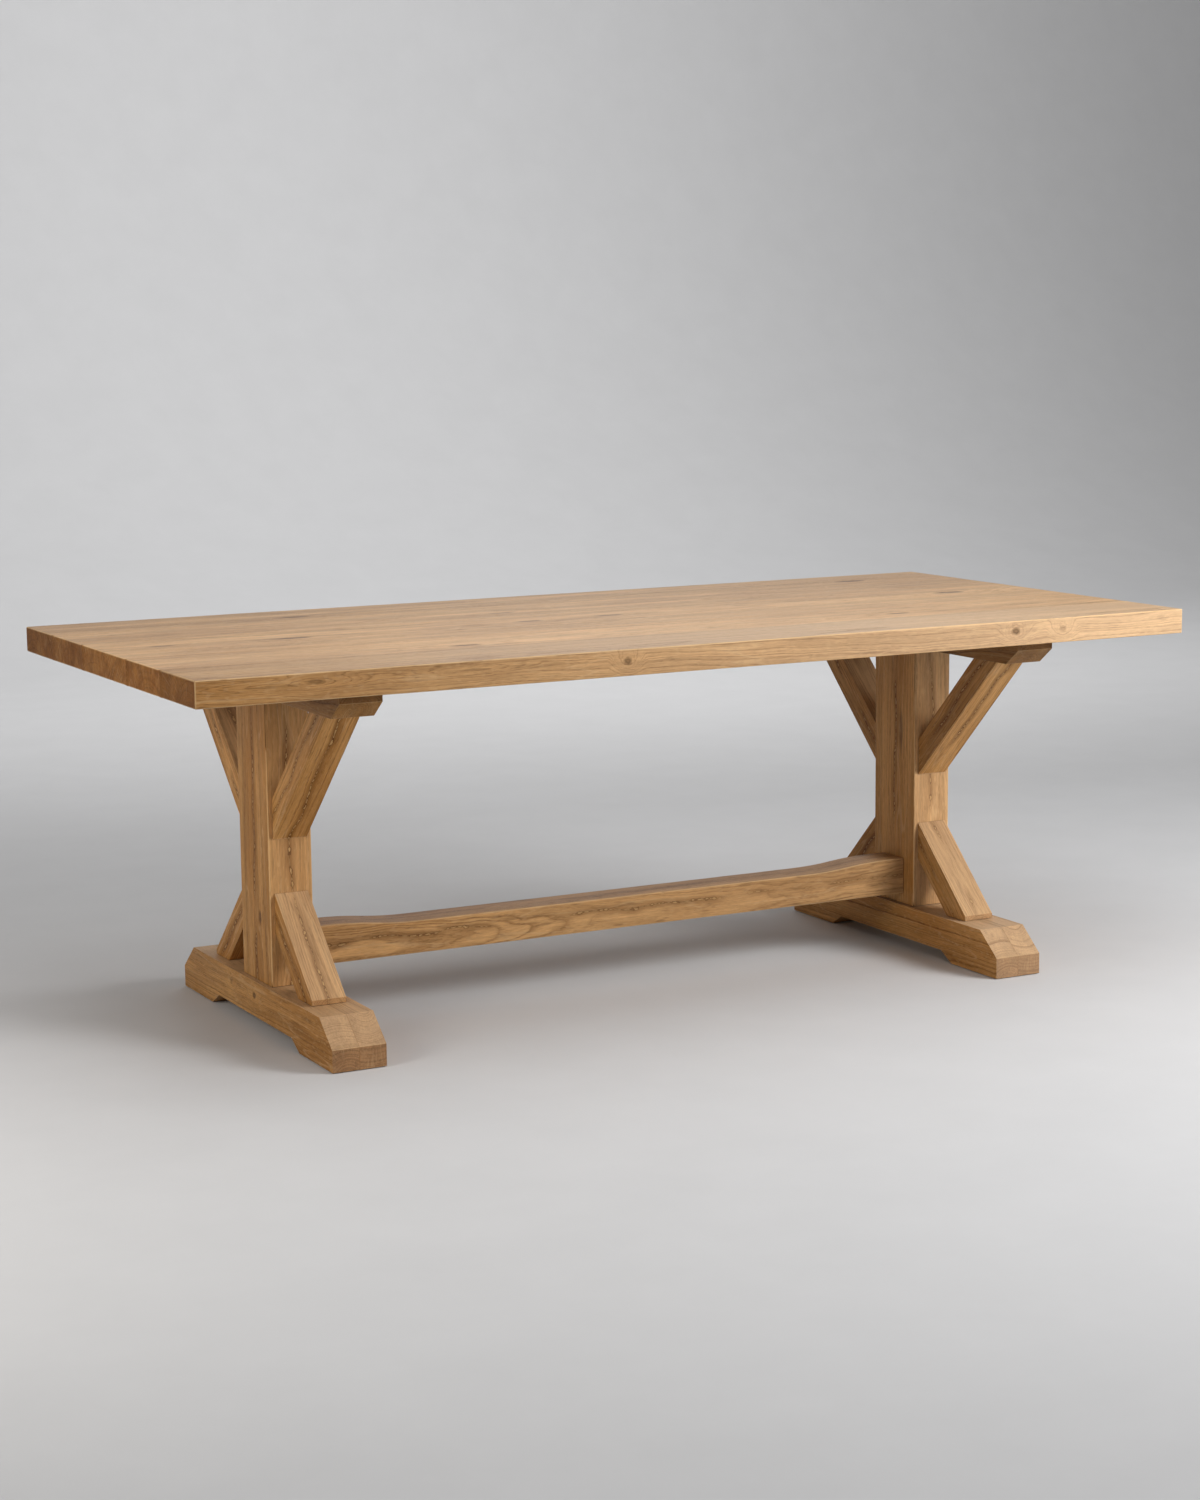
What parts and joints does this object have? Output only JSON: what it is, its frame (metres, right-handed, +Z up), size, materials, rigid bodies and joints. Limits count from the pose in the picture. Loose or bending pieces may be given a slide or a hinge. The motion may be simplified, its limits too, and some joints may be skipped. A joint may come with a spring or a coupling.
{
  "type": "trestle dining table",
  "caption": "Long oak trestle dining table with a thick plank top, bevelled sledge feet, diagonal braces and a low stretcher.",
  "frame": {"origin": "on the floor, under the middle of the table", "axes": "+X along the table's length, +Y towards the rear long side, +Z up"},
  "size_m": [2.15, 1, 0.76],
  "materials": {
    "top_oak": "oiled oak, satin",
    "trestle_oak": "oiled oak, satin",
    "joint_oak": "bare planed oak",
    "zinc_steel": "zinc plated",
    "insert_zinc": "yellow zinc",
    "nylon": "moulded"
  },
  "bodies": {
    "root": {"bearer_left": "trestle_oak", "bearer_right": "trestle_oak", "brace_tenons_left": "joint_oak", "brace_tenons_right": "joint_oak", "foot_left": "trestle_oak", "foot_right": "trestle_oak", "glide_screws": "zinc_steel", "glides_left_front": "nylon", "glides_left_rear": "nylon", "glides_right_front": "nylon", "glides_right_rear": "nylon", "lower_brace_left_front": "trestle_oak", "lower_brace_left_rear": "trestle_oak", "lower_brace_right_front": "trestle_oak", "lower_brace_right_rear": "trestle_oak", "post_left": "trestle_oak", "post_right": "trestle_oak", "stretcher": "trestle_oak", "stretcher_nuts": "zinc_steel", "stretcher_studs": "zinc_steel", "stretcher_washers": "zinc_steel", "top_board_1": "top_oak", "top_board_2": "top_oak", "top_board_3": "top_oak", "top_board_4": "top_oak", "top_board_5": "top_oak", "top_inserts": "insert_zinc", "top_screws": "zinc_steel", "top_tongues": "joint_oak", "top_washers": "zinc_steel", "upper_brace_left_front": "trestle_oak", "upper_brace_left_rear": "trestle_oak", "upper_brace_right_front": "trestle_oak", "upper_brace_right_rear": "trestle_oak"}
  },
  "joints": []
}
